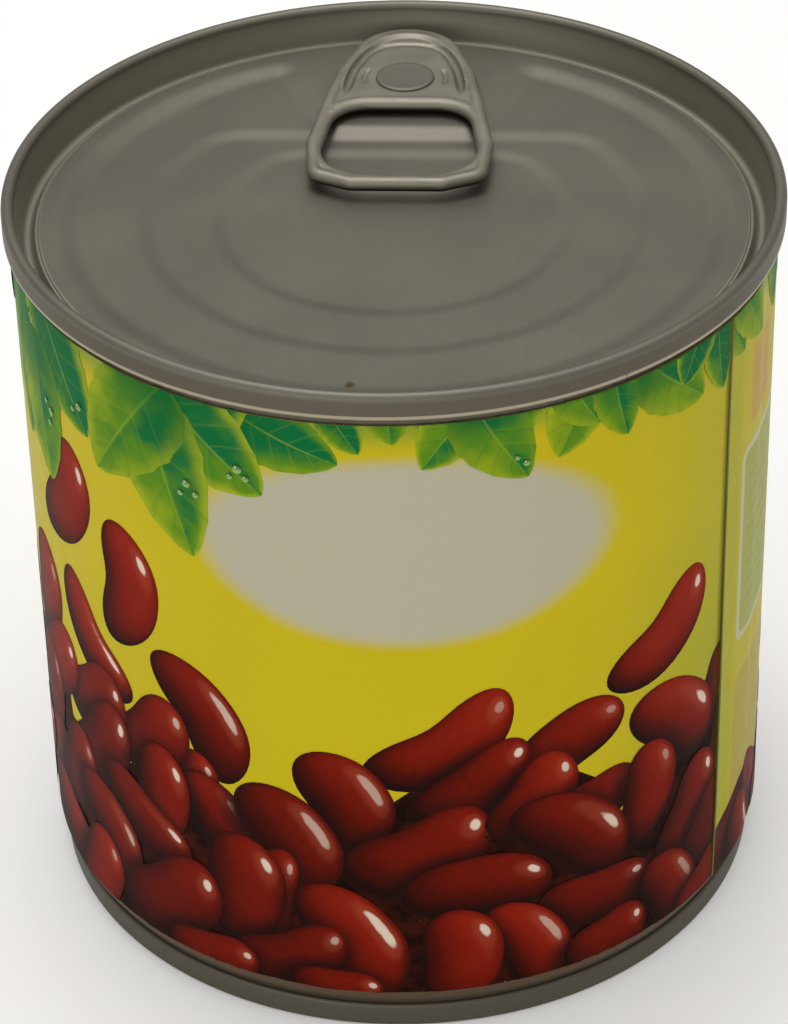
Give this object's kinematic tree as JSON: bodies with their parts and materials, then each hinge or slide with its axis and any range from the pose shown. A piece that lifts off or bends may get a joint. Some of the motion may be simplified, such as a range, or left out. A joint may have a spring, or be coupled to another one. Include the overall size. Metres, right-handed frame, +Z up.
{
  "type": "canned beans",
  "caption": "Shut squat steel food can of cooked beans with seamed ends, a riveted ring-pull tab in the recessed lid and a wrapped paper label printed with beans and leaves.",
  "frame": {"origin": "centre of the can's foot, on the surface that it stands on", "axes": "+Z up along the can's axis, +Y the way the pull tab's nose points, so the tab's finger end faces -Y; the middle of the label's front is at -Y"},
  "size_m": [0.086, 0.086, 0.0868],
  "materials": {
    "tinplate": "satin tinplate, warm grey, lightly grained",
    "tab_steel": "satin tinplate, slightly brighter on the rolled edges",
    "printed_paper": "semi-gloss coated paper, printed in yellow, green and red-brown"
  },
  "bodies": {
    "root": {"can_body": "tinplate", "top_end": "tinplate", "bottom_end": "tinplate", "pull_tab": "tab_steel", "rivet": "tinplate", "label": "printed_paper"}
  },
  "joints": []
}
